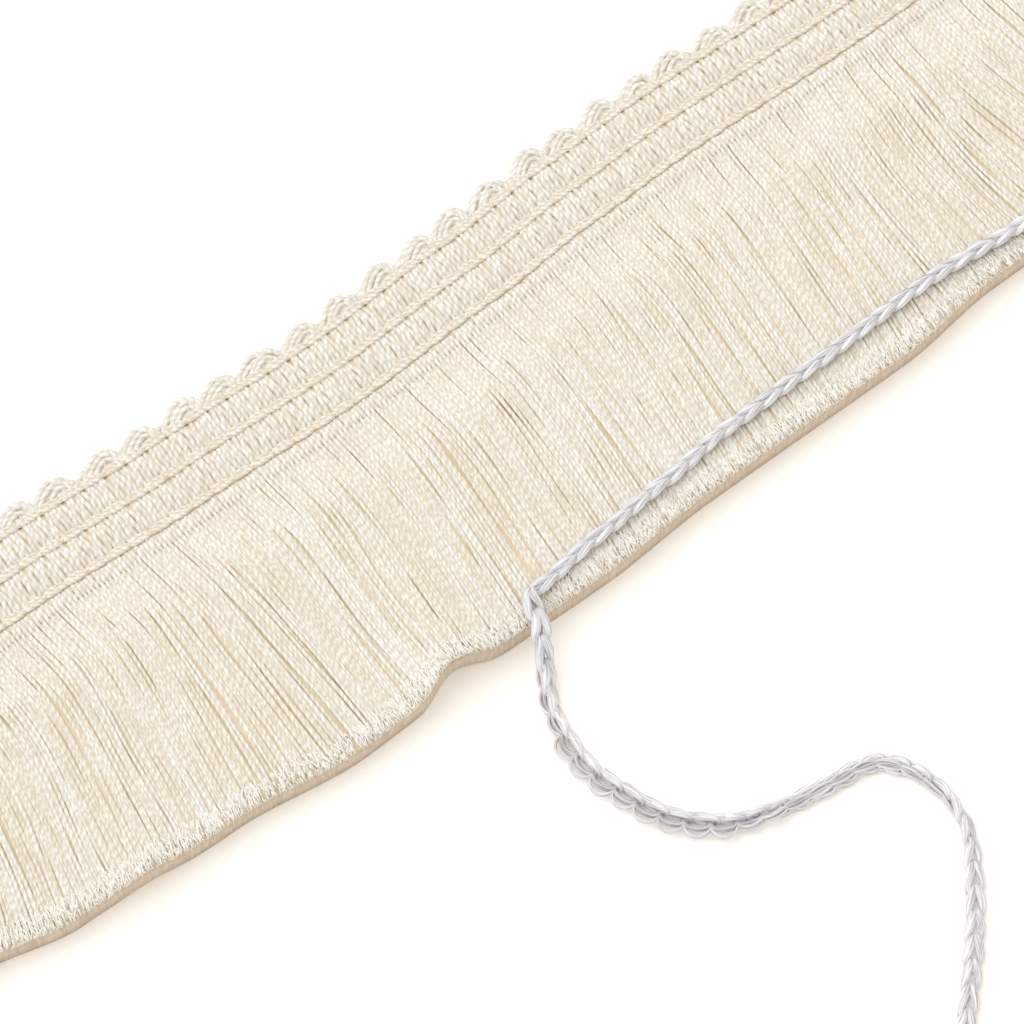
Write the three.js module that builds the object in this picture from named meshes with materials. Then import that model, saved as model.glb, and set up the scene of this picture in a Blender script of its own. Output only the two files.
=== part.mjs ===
// A cut length of brush fringe trim lying on a table, heading side up.
// Millimetres, +Z up, +X along the trim, +Y from the cut ends of the fringe towards the picot edge.
// The origin is under the middle of the trim, on the surface that it lies on.
import * as THREE from 'three';
import { mergeVertices } from 'three/addons/utils/BufferGeometryUtils.js';

// Length: the heading is counted in chain stitches, two to a picot.
const STITCH = 2.95;
const STITCHES = 60;
const PICOT = 2 * STITCH;
const LENGTH = STITCH * STITCHES;
const START_X = -87.5;

// Clearance between neighbouring pieces.
const GAP = 0.3;

// Across the heading, measured from the tips of the picots.
const PICOT_TOP = 25.9;
const ROW_TOP = PICOT_TOP - 3.6;
const ROW_MIDDLE = PICOT_TOP - 8.2;
const ROW_LOWER = PICOT_TOP - 13.2;
const ROW_SHOULDER = 0.9;

// Heading band: weft yarns pinched under the chain rows and puffed out between them.
const BAND_PINCH_HEIGHT = 1.45;
const BAND_PUFF_HEIGHT = 2.4;
const BUNDLE_GROOVE = 0.4;

// Picot edge: one domed loop of yarn for every two stitches.
const PICOT_VALLEY = 0.45;
const PICOT_STEPS = 5;
const PICOT_ROOT_HEIGHT = 1.5;
const PICOT_RIM_LOW = 0.25;
const PICOT_RIM_HIGH = 1.25;

// Heading chains: a bead for each stitch, narrow where one loop passes through the next.
const CHAIN = { foot: 0.4, wide: 0.8, narrow: 0.45, low: 1.95, bead: 2.95, neck: 2.55 };

// Pull chain: a heavier thread over the fringe, stitched along its right half.
const PULL_STITCH = 3.0;
const PULL_STITCHES = 34;
const PULL = { foot: 0.5, wide: 0.95, narrow: 0.6, low: 4.2, bead: 5.5, neck: 5.0 };
const PULL_DIAMETER = 1.9;
const PULL_SIDES = 8;
const PULL_FREE_STEPS = 34;

// Fringe: two layers of locks, each fused into its own narrow strip under the lowest chain.
const STRIP_DEPTH = 1.6;
const UPPER = { locks: 100, part: 0.34, root: [1.3, 2.3], body: [2.2, 3.9] };
const LOWER = { locks: 50, part: 0.5, root: [0, 1.0], body: [0, 1.8] };
const LOCK_STATIONS = [0, 0.14, 0.34, 0.66, 1];
const BODY_BEGINS = 0.34;
const LOCK_UNEVEN_WIDTH = 0.1;
const LOCK_UNEVEN_TIP = 0.35;
const UNEVEN_WAVES = [2.399, 1.113];
const RISE_SHARPNESS = 6;

// How the trim lies: sideways shift of the whole trim along its length.
const LIE = [
  { x: -60, shift: 0 },
  { x: -36, shift: -1.1 },
  { x: -14, shift: -1.8 },
  { x: 8, shift: -0.9 },
  { x: 24, shift: 0.1 },
  { x: 38, shift: 0.5 },
  { x: 64, shift: 0 },
];

// Lean of the fringe in degrees towards +X, at the root, half way down and at the cut end.
const LEAN = [
  { x: -86, root: 3, middle: -14, tip: -22 },
  { x: -68, root: 4, middle: -12, tip: -9 },
  { x: -55, root: 5, middle: -8, tip: -13 },
  { x: -40, root: 6, middle: 1, tip: 1 },
  { x: -25, root: 4, middle: -6, tip: -5 },
  { x: 0, root: 1, middle: -7, tip: -5 },
  { x: 25, root: -6, middle: -5, tip: -6 },
  { x: 45, root: -8, middle: -8, tip: -8 },
  { x: 58, root: -11, middle: -6, tip: -2 },
  { x: 76, root: -10, middle: 9, tip: 14 },
  { x: 92, root: -10, middle: 12, tip: 18 },
];

// Line of the cut ends.
const CUT = [
  { x: -92, y: -20.3 },
  { x: -78, y: -22.9 },
  { x: -58, y: -24.2 },
  { x: -40, y: -26.2 },
  { x: -32, y: -26.0 },
  { x: -26, y: -24.4 },
  { x: -20, y: -25.7 },
  { x: -4, y: -26.0 },
  { x: 12, y: -25.2 },
  { x: 42, y: -25.4 },
  { x: 57, y: -24.0 },
  { x: 95, y: -23.6 },
];

// Places where the cut ends stand off the table.
const ARCHES = [
  { x: -26, rise: 1.7, half: 8 },
  { x: -69, rise: 0.7, half: 6 },
];

// Line of the pull chain over the fringe, from where it comes loose to the right end.
const PULL_LINE = [
  { x: -12, y: -23.0 },
  { x: -3, y: -22.1 },
  { x: 8, y: -21.3 },
  { x: 18, y: -20.4 },
  { x: 31, y: -20.2 },
  { x: 49, y: -19.8 },
  { x: 65, y: -20.9 },
  { x: 92, y: -21.0 },
];

// Smooth value of one column of a table at x.
function along(table, column, x) {
  const last = table.length - 1;
  if (x <= table[0].x) return table[0][column];
  if (x >= table[last].x) return table[last][column];
  const i = table.findIndex((row) => row.x > x) - 1;
  const t = (x - table[i].x) / (table[i + 1].x - table[i].x);
  return THREE.MathUtils.lerp(table[i][column], table[i + 1][column], t * t * (3 - 2 * t));
}

const shiftAt = (x) => along(LIE, 'shift', x);

// Geometry with its corners merged, each moved to place(x, y, z).
function shaped(geometry, place) {
  geometry.deleteAttribute('normal');
  geometry.deleteAttribute('uv');
  const points = geometry.attributes.position;
  for (let i = 0; i < points.count; i += 1) {
    points.setXYZ(i, ...place(points.getX(i), points.getY(i), points.getZ(i)));
  }
  const merged = mergeVertices(geometry);
  merged.computeVertexNormals();
  return merged;
}

// Box whose corners run from 0 to its size, with the given number of steps along each side.
function unitBox(stepsX, stepsY, stepsZ) {
  const box = new THREE.BoxGeometry(1, 1, 1, stepsX, stepsY, stepsZ);
  return box.translate(0.5, 0.5, 0.5);
}

// Heading band, drawn as its cross-section and extruded along the trim, with a groove at each stitch.
function bandGeometry() {
  const upper = ROW_TOP + ROW_SHOULDER;
  const lower = ROW_LOWER - ROW_SHOULDER;
  const section = new THREE.Shape();
  section.moveTo(lower, 0);
  section.lineTo(upper, 0);
  section.lineTo(upper, BAND_PINCH_HEIGHT);
  section.lineTo((ROW_TOP + ROW_MIDDLE) / 2, BAND_PUFF_HEIGHT);
  section.lineTo(ROW_MIDDLE, BAND_PINCH_HEIGHT);
  section.lineTo((ROW_MIDDLE + ROW_LOWER) / 2, BAND_PUFF_HEIGHT);
  section.lineTo(lower, BAND_PINCH_HEIGHT);
  const steps = 2 * STITCHES;
  const bar = new THREE.ExtrudeGeometry(section, { depth: steps, steps, bevelEnabled: false });
  return shaped(bar, (across, height, step) => {
    const k = Math.round(step);
    const x = START_X + (k * STITCH) / 2;
    const groove = k % 2 ? 0 : BUNDLE_GROOVE / BAND_PUFF_HEIGHT;
    return [x, across + shiftAt(x), height * (1 - groove)];
  });
}

// Picot edge, a flat bar whose outer side rises in one dome for each picot.
function picotGeometry() {
  const inner = ROW_TOP + ROW_SHOULDER + GAP;
  const steps = (PICOT_STEPS * STITCHES) / 2;
  return shaped(unitBox(steps, 1, 1), (along01, out, up) => {
    const run = along01 * LENGTH;
    const phase = (run / PICOT) % 1;
    const dome = Math.sqrt(Math.max(0, 1 - (2 * phase - 1) ** 2));
    const rim = THREE.MathUtils.lerp(inner + PICOT_VALLEY, PICOT_TOP, dome);
    const x = START_X + run;
    const rimHeight = up ? PICOT_RIM_HIGH : PICOT_RIM_LOW;
    return [x, (out ? rim : inner) + shiftAt(x), out ? rimHeight : up * PICOT_ROOT_HEIGHT];
  });
}

// Chain of beads over a stretch, following a line given as y for each x.
function chainGeometry(from, stitches, pitch, form, lineAt) {
  const steps = 2 * stitches;
  return shaped(unitBox(steps, 1, 1), (along01, side, up) => {
    const k = Math.round(along01 * steps);
    const x = from + (k * pitch) / 2;
    const bead = k % 2 === 1;
    const half = up ? (bead ? form.wide : form.narrow) : form.foot;
    const top = bead ? form.bead : form.neck;
    return [x, lineAt(x) + (2 * side - 1) * half, up ? top : form.low];
  });
}

// Height that the cut ends stand off the table at x.
function riseAt(x) {
  let rise = 0;
  for (const arch of ARCHES) {
    const reach = Math.min(1, Math.abs(x - arch.x) / arch.half);
    rise += (arch.rise * (1 + Math.cos(Math.PI * reach))) / 2;
  }
  return rise;
}

const ROOT_Y = ROW_LOWER - ROW_SHOULDER - GAP - STRIP_DEPTH;

// Place of a point of the fringe: rooted at x, a share v of the way down.
function fringePoint(rootX, v, tipTrim) {
  const root = along(LEAN, 'root', rootX);
  const middle = along(LEAN, 'middle', rootX);
  const tip = along(LEAN, 'tip', rootX);
  const leanTo = (share) => {
    const first = Math.min(share, 0.5);
    const second = Math.max(share - 0.5, 0);
    return root * first + (middle - root) * first ** 2 + middle * second + (tip - middle) * second ** 2;
  };
  const rootY = ROOT_Y + shiftAt(rootX);
  const length = rootY - along(CUT, 'y', rootX);
  const tipX = rootX + THREE.MathUtils.degToRad(leanTo(1)) * length;
  const tipY = along(CUT, 'y', tipX) + tipTrim;
  const x = rootX + THREE.MathUtils.degToRad(leanTo(v)) * length;
  return { x, y: THREE.MathUtils.lerp(rootY, tipY, v), rise: riseAt(tipX) * v ** RISE_SHARPNESS };
}

// Small steady unevenness from lock to lock, between -1 and 1.
function uneven(i, phase) {
  return Math.sin(i * UNEVEN_WAVES[0] + phase) * Math.cos(i * UNEVEN_WAVES[1] - phase);
}

// One layer of the fringe as a comb: four-sided locks that grow out of the front of their strip.
// Every corner is a pair of points, the lower one first, numbered by the lower one.
function combGeometry(layer) {
  const points = [];
  const faces = [];
  const pair = (x, y, low, high) => {
    points.push(x, y, low, x, y, high);
    return points.length / 3 - 2;
  };
  const wall = (a, b) => faces.push(a, b, b + 1, a, b + 1, a + 1);
  const lid = (a, b, c, d) => {
    faces.push(a + 1, b + 1, c + 1, a + 1, c + 1, d + 1);
    faces.push(a, c, b, a, d, c);
  };

  const pitch = LENGTH / layer.locks;
  const [rootLow, rootHigh] = layer.root;
  const [bodyLow, bodyHigh] = layer.body;
  const lockEdge = (x, trim) => {
    const back = pair(x, ROOT_Y + STRIP_DEPTH + shiftAt(x), rootLow, rootHigh);
    const down = LOCK_STATIONS.map((v) => {
      const spot = fringePoint(x, v, trim);
      const swell = THREE.MathUtils.smoothstep(v, 0, BODY_BEGINS);
      const low = THREE.MathUtils.lerp(rootLow, bodyLow, swell);
      const high = THREE.MathUtils.lerp(rootHigh, bodyHigh, swell);
      return pair(spot.x, spot.y, low + spot.rise, high + spot.rise);
    });
    return { back, down };
  };

  const tip = LOCK_STATIONS.length - 1;
  let before = null;
  for (let i = 0; i < layer.locks; i += 1) {
    const centre = START_X + (i + 0.5) * pitch;
    const half = (pitch - layer.part) / 2 - LOCK_UNEVEN_WIDTH * Math.abs(uneven(i, 0));
    const trim = LOCK_UNEVEN_TIP * uneven(i, 1);
    const left = lockEdge(centre - half, trim);
    const right = lockEdge(centre + half, trim);
    for (let j = 0; j < tip; j += 1) {
      lid(left.down[j], left.down[j + 1], right.down[j + 1], right.down[j]);
      wall(left.down[j], left.down[j + 1]);
      wall(right.down[j + 1], right.down[j]);
    }
    wall(left.down[tip], right.down[tip]);
    lid(left.back, left.down[0], right.down[0], right.back);
    wall(right.back, left.back);
    if (before) {
      lid(before.back, before.down[0], left.down[0], left.back);
      wall(before.down[0], left.down[0]);
      wall(left.back, before.back);
    } else {
      wall(left.back, left.down[0]);
    }
    before = right;
  }
  wall(before.down[0], before.back);

  const geometry = new THREE.BufferGeometry();
  geometry.setAttribute('position', new THREE.Float32BufferAttribute(points, 3));
  geometry.setIndex(faces);
  geometry.computeVertexNormals();
  return geometry;
}

// Route of the loose end of the pull chain: over the cut ends, down to the table and away.
const PULL_START_X = START_X + LENGTH - PULL_STITCH * PULL_STITCHES;
const FREE_ROUTE = [
  [-13.3, -23.0, 5.15],
  [-14.1, -23.8, 5.25],
  [-14.5, -25.2, 5.3],
  [-15.0, -26.9, 5.0],
  [-16.2, -28.8, 3.9],
  [-17.4, -31.0, 2.2],
  [-18.7, -33.4, 1.2],
  [-19.6, -35.8, 1.0],
  [-20.4, -40.3, 1.0],
  [-20.3, -44.5, 1.0],
  [-19.3, -48.0, 1.0],
  [-18.0, -51.8, 1.0],
  [-16.1, -55.0, 1.0],
  [-13.9, -57.2, 1.0],
  [-11.3, -59.1, 1.0],
  [-8.4, -60.4, 1.0],
  [-4.8, -61.4, 1.0],
  [-0.6, -62.1, 1.0],
  [3.5, -62.6, 1.0],
  [6.2, -63.5, 1.0],
  [8.2, -65.9, 1.0],
  [9.5, -69.5, 1.0],
  [9.7, -73.0, 1.0],
  [8.8, -76.4, 1.0],
  [7.0, -79.6, 1.0],
  [4.7, -82.9, 1.0],
  [2.1, -85.9, 1.0],
  [-0.6, -88.8, 1.0],
  [-3.7, -91.8, 1.0],
  [-6.3, -94.3, 1.0],
  [-9.6, -97.1, 1.0],
];

function freeEndGeometry() {
  const section = new THREE.Shape();
  for (let i = 0; i < PULL_SIDES; i += 1) {
    const turn = ((i + 0.5) / PULL_SIDES) * 2 * Math.PI;
    const corner = [Math.cos(turn) * (PULL_DIAMETER / 2), Math.sin(turn) * (PULL_DIAMETER / 2)];
    if (i === 0) section.moveTo(...corner);
    else section.lineTo(...corner);
  }
  const route = new THREE.CatmullRomCurve3(FREE_ROUTE.map((point) => new THREE.Vector3(...point)));
  return new THREE.ExtrudeGeometry(section, { steps: PULL_FREE_STEPS, extrudePath: route });
}

const fringeYarn = new THREE.MeshStandardMaterial({ color: 0xf3e8d6, roughness: 0.8, metalness: 0 });
const chainThread = new THREE.MeshStandardMaterial({ color: 0xe8d9c0, roughness: 0.75, metalness: 0 });
const pullThread = new THREE.MeshStandardMaterial({ color: 0xe6e6ec, roughness: 0.45, metalness: 0 });

const trim = new THREE.Group();

function add(name, geometry, material) {
  const mesh = new THREE.Mesh(geometry, material);
  mesh.name = name;
  trim.add(mesh);
}

add('heading_band', bandGeometry(), fringeYarn);
add('picot_edge', picotGeometry(), fringeYarn);
for (const [name, row] of [['top', ROW_TOP], ['middle', ROW_MIDDLE], ['lower', ROW_LOWER]]) {
  const lineAt = (x) => row + shiftAt(x);
  add(`heading_chain_${name}`, chainGeometry(START_X, STITCHES, STITCH, CHAIN, lineAt), chainThread);
}
add('fringe_upper', combGeometry(UPPER), fringeYarn);
add('fringe_lower', combGeometry(LOWER), fringeYarn);
const pullLine = (x) => along(PULL_LINE, 'y', x);
add('pull_chain', chainGeometry(PULL_START_X, PULL_STITCHES, PULL_STITCH, PULL, pullLine), pullThread);
add('pull_chain_loose_end', freeEndGeometry(), pullThread);

export default trim;
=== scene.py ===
import math

import bmesh
import bpy
import numpy as np
from mathutils import Matrix, Vector


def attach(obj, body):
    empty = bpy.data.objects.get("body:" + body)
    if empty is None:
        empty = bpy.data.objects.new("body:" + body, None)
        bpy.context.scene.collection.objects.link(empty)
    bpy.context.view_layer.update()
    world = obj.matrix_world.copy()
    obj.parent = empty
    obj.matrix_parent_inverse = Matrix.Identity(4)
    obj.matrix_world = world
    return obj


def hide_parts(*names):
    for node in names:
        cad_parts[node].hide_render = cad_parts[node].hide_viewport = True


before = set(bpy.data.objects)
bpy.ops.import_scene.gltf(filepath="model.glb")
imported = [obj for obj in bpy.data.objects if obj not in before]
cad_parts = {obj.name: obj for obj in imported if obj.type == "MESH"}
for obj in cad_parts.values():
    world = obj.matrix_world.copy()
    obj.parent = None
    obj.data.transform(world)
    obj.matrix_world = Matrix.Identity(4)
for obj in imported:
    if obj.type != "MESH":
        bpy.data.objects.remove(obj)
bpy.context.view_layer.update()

rng = np.random.default_rng(7)

# Sizes of the trim, in millimetres, as in the solids.
MM = 0.001
STITCH = 2.95
STITCHES = 60
PICOT = 2 * STITCH
LENGTH = STITCH * STITCHES
START_X = -87.5
PICOT_TOP = 25.9
ROW_TOP = PICOT_TOP - 3.6
ROW_MIDDLE = PICOT_TOP - 8.2
ROW_LOWER = PICOT_TOP - 13.2
ROOT_Y = ROW_LOWER - 2.8

# Yarn of the fringe and heading: two plies twisted together.
YARN_RADIUS = 0.295
WEFT_RADIUS = 0.38
YARN_TURN = 2.2
YARNS_TO_STITCH = 5

# How the trim lies, and how its fringe leans and is cut.
LIE = [
    {"x": -60, "shift": 0},
    {"x": -36, "shift": -1.1},
    {"x": -14, "shift": -1.8},
    {"x": 8, "shift": -0.9},
    {"x": 24, "shift": 0.1},
    {"x": 38, "shift": 0.5},
    {"x": 64, "shift": 0},
]
LEAN = [
    {"x": -86, "root": 3, "middle": -14, "tip": -22},
    {"x": -68, "root": 4, "middle": -12, "tip": -9},
    {"x": -55, "root": 5, "middle": -8, "tip": -13},
    {"x": -40, "root": 6, "middle": 1, "tip": 1},
    {"x": -25, "root": 4, "middle": -6, "tip": -5},
    {"x": 0, "root": 1, "middle": -7, "tip": -5},
    {"x": 25, "root": -6, "middle": -5, "tip": -6},
    {"x": 45, "root": -8, "middle": -8, "tip": -8},
    {"x": 58, "root": -11, "middle": -6, "tip": -2},
    {"x": 76, "root": -10, "middle": 9, "tip": 14},
    {"x": 92, "root": -10, "middle": 12, "tip": 18},
]
CUT = [
    {"x": -92, "y": -20.3},
    {"x": -78, "y": -22.9},
    {"x": -58, "y": -24.2},
    {"x": -40, "y": -26.2},
    {"x": -32, "y": -26.0},
    {"x": -26, "y": -24.4},
    {"x": -20, "y": -25.7},
    {"x": -4, "y": -26.0},
    {"x": 12, "y": -25.2},
    {"x": 42, "y": -25.4},
    {"x": 57, "y": -24.0},
    {"x": 95, "y": -23.6},
]
ARCHES = [
    {"x": -26, "rise": 1.7, "half": 8},
    {"x": -69, "rise": 0.7, "half": 6},
]
RISE_SHARPNESS = 6

# White pull chain: its line over the fringe, and the route of its loose end.
PULL_STITCH = 3.0
PULL_STITCHES = 34
PULL_HEIGHT = 4.5
PULL_LINE = [
    {"x": -12, "y": -23.0},
    {"x": -3, "y": -22.1},
    {"x": 8, "y": -21.3},
    {"x": 18, "y": -20.4},
    {"x": 31, "y": -20.2},
    {"x": 49, "y": -19.8},
    {"x": 65, "y": -20.9},
    {"x": 92, "y": -21.0},
]
FREE_ROUTE = [
    (-13.3, -23.0, 5.15),
    (-14.1, -23.8, 5.25),
    (-14.5, -25.2, 5.3),
    (-15.0, -26.9, 5.0),
    (-16.2, -28.8, 3.9),
    (-17.4, -31.0, 2.2),
    (-18.7, -33.4, 1.2),
    (-19.6, -35.8, 1.0),
    (-20.4, -40.3, 1.0),
    (-20.3, -44.5, 1.0),
    (-19.3, -48.0, 1.0),
    (-18.0, -51.8, 1.0),
    (-16.1, -55.0, 1.0),
    (-13.9, -57.2, 1.0),
    (-11.3, -59.1, 1.0),
    (-8.4, -60.4, 1.0),
    (-4.8, -61.4, 1.0),
    (-0.6, -62.1, 1.0),
    (3.5, -62.6, 1.0),
    (6.2, -63.5, 1.0),
    (8.2, -65.9, 1.0),
    (9.5, -69.5, 1.0),
    (9.7, -73.0, 1.0),
    (8.8, -76.4, 1.0),
    (7.0, -79.6, 1.0),
    (4.7, -82.9, 1.0),
    (2.1, -85.9, 1.0),
    (-0.6, -88.8, 1.0),
    (-3.7, -91.8, 1.0),
    (-6.3, -94.3, 1.0),
    (-9.6, -97.1, 1.0),
]


def along(table, column, x):
    """Smooth value of one column of a table at each x."""
    at = np.array([row["x"] for row in table], float)
    value = np.array([row[column] for row in table], float)
    x = np.asarray(x, float)
    i = np.clip(np.searchsorted(at, x, side="right") - 1, 0, len(at) - 2)
    t = np.clip((x - at[i]) / (at[i + 1] - at[i]), 0, 1)
    return value[i] + (value[i + 1] - value[i]) * t * t * (3 - 2 * t)


def smoothstep(low, high, x):
    t = np.clip((np.asarray(x, float) - low) / (high - low), 0, 1)
    return t * t * (3 - 2 * t)


def shift_at(x):
    return along(LIE, "shift", x)


def rise_at(x):
    rise = np.zeros_like(np.asarray(x, float))
    for arch in ARCHES:
        reach = np.minimum(1, np.abs(x - arch["x"]) / arch["half"])
        rise += arch["rise"] * (1 + np.cos(np.pi * reach)) / 2
    return rise


CURVE_STEPS = 24


def catmull(points, count):
    """Smooth curve through the rows of points, at count even steps of its own length."""
    points = np.asarray(points, float)
    ends = np.vstack([2 * points[0] - points[1], points, 2 * points[-1] - points[-2]])
    fine = []
    t = np.linspace(0, 1, CURVE_STEPS, endpoint=False)[:, None]
    for k in range(len(points) - 1):
        a, b, c, d = ends[k:k + 4]
        fine.append(0.5 * (2 * b + (c - a) * t + (2 * a - 5 * b + 4 * c - d) * t ** 2
                           + (3 * b - a - 3 * c + d) * t ** 3))
    fine = np.vstack(fine + [points[-1:]])
    run = np.concatenate([[0], np.cumsum(np.linalg.norm(np.diff(fine, axis=0), axis=1))])
    at = np.linspace(0, run[-1], count)
    return np.stack([np.interp(at, run, fine[:, k]) for k in range(fine.shape[1])], axis=1)


# Camera at the photograph's angle, over the open end of the chain.
AIM = (-7.3, -11.69, 0.0)
AZIMUTH = math.radians(-37.86)
ELEVATION = math.radians(65)
DISTANCE = 595.98
LENS = 176.0
SENSOR = 36.0
NEAREST = 0.01


def make_camera():
    data = bpy.data.cameras.new("camera")
    data.lens = LENS
    data.sensor_width = SENSOR
    data.clip_start = NEAREST
    camera = bpy.data.objects.new("camera", data)
    bpy.context.scene.collection.objects.link(camera)
    back = Vector((math.sin(AZIMUTH) * math.cos(ELEVATION),
                   -math.cos(AZIMUTH) * math.cos(ELEVATION), math.sin(ELEVATION)))
    right = Vector((math.cos(AZIMUTH), math.sin(AZIMUTH), 0))
    turn = Matrix((right, back.cross(right), back)).transposed().to_4x4()
    camera.matrix_world = Matrix.Translation((Vector(AIM) + back * DISTANCE) * MM) @ turn
    bpy.context.scene.camera = camera


make_camera()


# Materials


def srgb(value):
    """Linear colour of an sRGB hex value."""
    parts = [int(value[i:i + 2], 16) / 255 for i in (1, 3, 5)]
    return tuple(c / 12.92 if c <= 0.04045 else ((c + 0.055) / 1.055) ** 2.4 for c in parts) + (1.0,)


def node(tree, kind, links=(), **settings):
    """Adds a node with its settings, and gives each input in links its socket or its value."""
    made = tree.nodes.new(kind)
    for name, value in settings.items():
        if hasattr(made, name):
            setattr(made, name, value)
        else:
            made.inputs[name.replace("_", " ")].default_value = value
    for socket, source in dict(links).items():
        if isinstance(source, bpy.types.NodeSocket):
            tree.links.new(source, made.inputs[socket])
        else:
            made.inputs[socket].default_value = source
    return made


def material(name):
    made = bpy.data.materials.new(name)
    made.use_nodes = True
    made.node_tree.nodes.clear()
    return made, made.node_tree


def finish_material(tree, shader):
    node(tree, "ShaderNodeOutputMaterial", {"Surface": shader.outputs["BSDF"]})


# Patterns on yarn, over its own map: once round it across, and millimetres along it.
TWIST_CHANGES_TO_MM = 0.6
TWIST_SLIP = 0.8
PLY_CROWN_SHARPNESS = 1.6
DULLEST_PLY_CROWN = 0.35
HAIRS_ROUND = 20.0
HAIR_SHARE = 0.6
TONE_AND_PAINTED_SHADE_SATURATION = 3.2
TONE_AND_PAINTED_SHADE_DARKNESS = 0.2


def twisted_yarn(name, painted_groove_shade, body, painted_crown_highlight, turn, relief, roughness):
    """Spun and plied yarn: plies that wind round, here tight and there slack, with painted highlight in narrow
    pale grains on their crowns and painted shade in their grooves, with fine hairs along them, and painted
    shade, warm tan and darker, low on its sides."""
    made, tree = material(name)
    uv = node(tree, "ShaderNodeUVMap", uv_map="yarn")
    parts = node(tree, "ShaderNodeSeparateXYZ", {"Vector": uv.outputs["UV"]})
    tone = node(tree, "ShaderNodeAttribute", attribute_name="tone")
    strand = node(tree, "ShaderNodeAttribute", attribute_name="strand")
    place = node(tree, "ShaderNodeCombineXYZ", {"X": parts.outputs["Y"], "Y": strand.outputs["Fac"]})
    slack = node(tree, "ShaderNodeTexNoise", {"Vector": place.outputs[0]},
                 Scale=TWIST_CHANGES_TO_MM, Detail=1.0)
    kinds = node(tree, "ShaderNodeSeparateColor", {"Color": slack.outputs["Color"]})
    wound = node(tree, "ShaderNodeMath", {0: parts.outputs["Y"], 1: 1 / turn}, operation="MULTIPLY")
    drift = node(tree, "ShaderNodeMath", {0: kinds.outputs["Red"], 1: TWIST_SLIP, 2: wound.outputs[0]},
                 operation="MULTIPLY_ADD")
    phase = node(tree, "ShaderNodeMath", {0: parts.outputs["X"], 1: drift.outputs[0]}, operation="ADD")
    angle = node(tree, "ShaderNodeMath", {0: phase.outputs[0], 1: 2 * math.pi}, operation="MULTIPLY")
    wave = node(tree, "ShaderNodeMath", {0: angle.outputs[0]}, operation="SINE")
    ply = node(tree, "ShaderNodeMath", {0: wave.outputs[0]}, operation="ABSOLUTE")
    ply_crown = node(tree, "ShaderNodeMath", {0: ply.outputs[0], 1: PLY_CROWN_SHARPNESS}, operation="POWER")
    bright = node(tree, "ShaderNodeMapRange",
                  {"Value": kinds.outputs["Green"], "From Min": 0.35, "From Max": 0.65, "To Min": DULLEST_PLY_CROWN})
    mark = node(tree, "ShaderNodeMath", {0: ply_crown.outputs[0], 1: bright.outputs[0]}, operation="MULTIPLY")
    across = node(tree, "ShaderNodeMath", {0: phase.outputs[0], 1: HAIRS_ROUND}, operation="MULTIPLY")
    hair_at = node(tree, "ShaderNodeCombineXYZ",
                   {"X": across.outputs[0], "Y": parts.outputs["Y"], "Z": strand.outputs["Fac"]})
    hairs = node(tree, "ShaderNodeTexNoise", {"Vector": hair_at.outputs[0]}, Scale=1.0, Detail=1.0)
    total = node(tree, "ShaderNodeMath", {0: hairs.outputs["Fac"], 1: HAIR_SHARE, 2: mark.outputs[0]},
                 operation="MULTIPLY_ADD")
    # Painted shade in the ply grooves and painted highlight on the ply crowns: the ramp runs from the groove
    # colour to the crown colour over the twist relief.
    shade = node(tree, "ShaderNodeValToRGB", {"Fac": total.outputs[0]})
    shade.color_ramp.elements[0].position = 0.15
    shade.color_ramp.elements[0].color = srgb(painted_groove_shade)
    shade.color_ramp.elements[1].position = 1.0
    shade.color_ramp.elements[1].color = srgb(painted_crown_highlight)
    middle = shade.color_ramp.elements.new(0.55)
    middle.color = srgb(body)
    # Low tone turns more saturated and darker: painted shade, warm tan, low on the yarn's sides and on deep
    # yarns, with a little tone that differs at random.
    depth = node(tree, "ShaderNodeMath",
                 {0: tone.outputs["Fac"], 1: -TONE_AND_PAINTED_SHADE_SATURATION, 2: 1 + TONE_AND_PAINTED_SHADE_SATURATION},
                 operation="MULTIPLY_ADD")
    value = node(tree, "ShaderNodeMath",
                 {0: tone.outputs["Fac"], 1: TONE_AND_PAINTED_SHADE_DARKNESS, 2: 1 - TONE_AND_PAINTED_SHADE_DARKNESS},
                 operation="MULTIPLY_ADD")
    toned = node(tree, "ShaderNodeHueSaturation",
                 {"Color": shade.outputs["Color"], "Value": value.outputs[0], "Saturation": depth.outputs[0]})
    bump = node(tree, "ShaderNodeBump", {"Height": total.outputs[0]}, Strength=1.0, Distance=relief * MM)
    shader = node(tree, "ShaderNodeBsdfPrincipled",
                  {"Base Color": toned.outputs["Color"], "Normal": bump.outputs["Normal"],
                   "Specular IOR Level": 0.4, "Sheen Weight": 0.1, "Sheen Roughness": 0.4},
                  Roughness=roughness, IOR=1.45)
    finish_material(tree, shader)
    return made


FILAMENT_LINES_ROUND = 18.0
FILAMENT_STREAKS_TO_MM = 0.35
FILAMENT_RELIEF = 0.12


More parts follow.
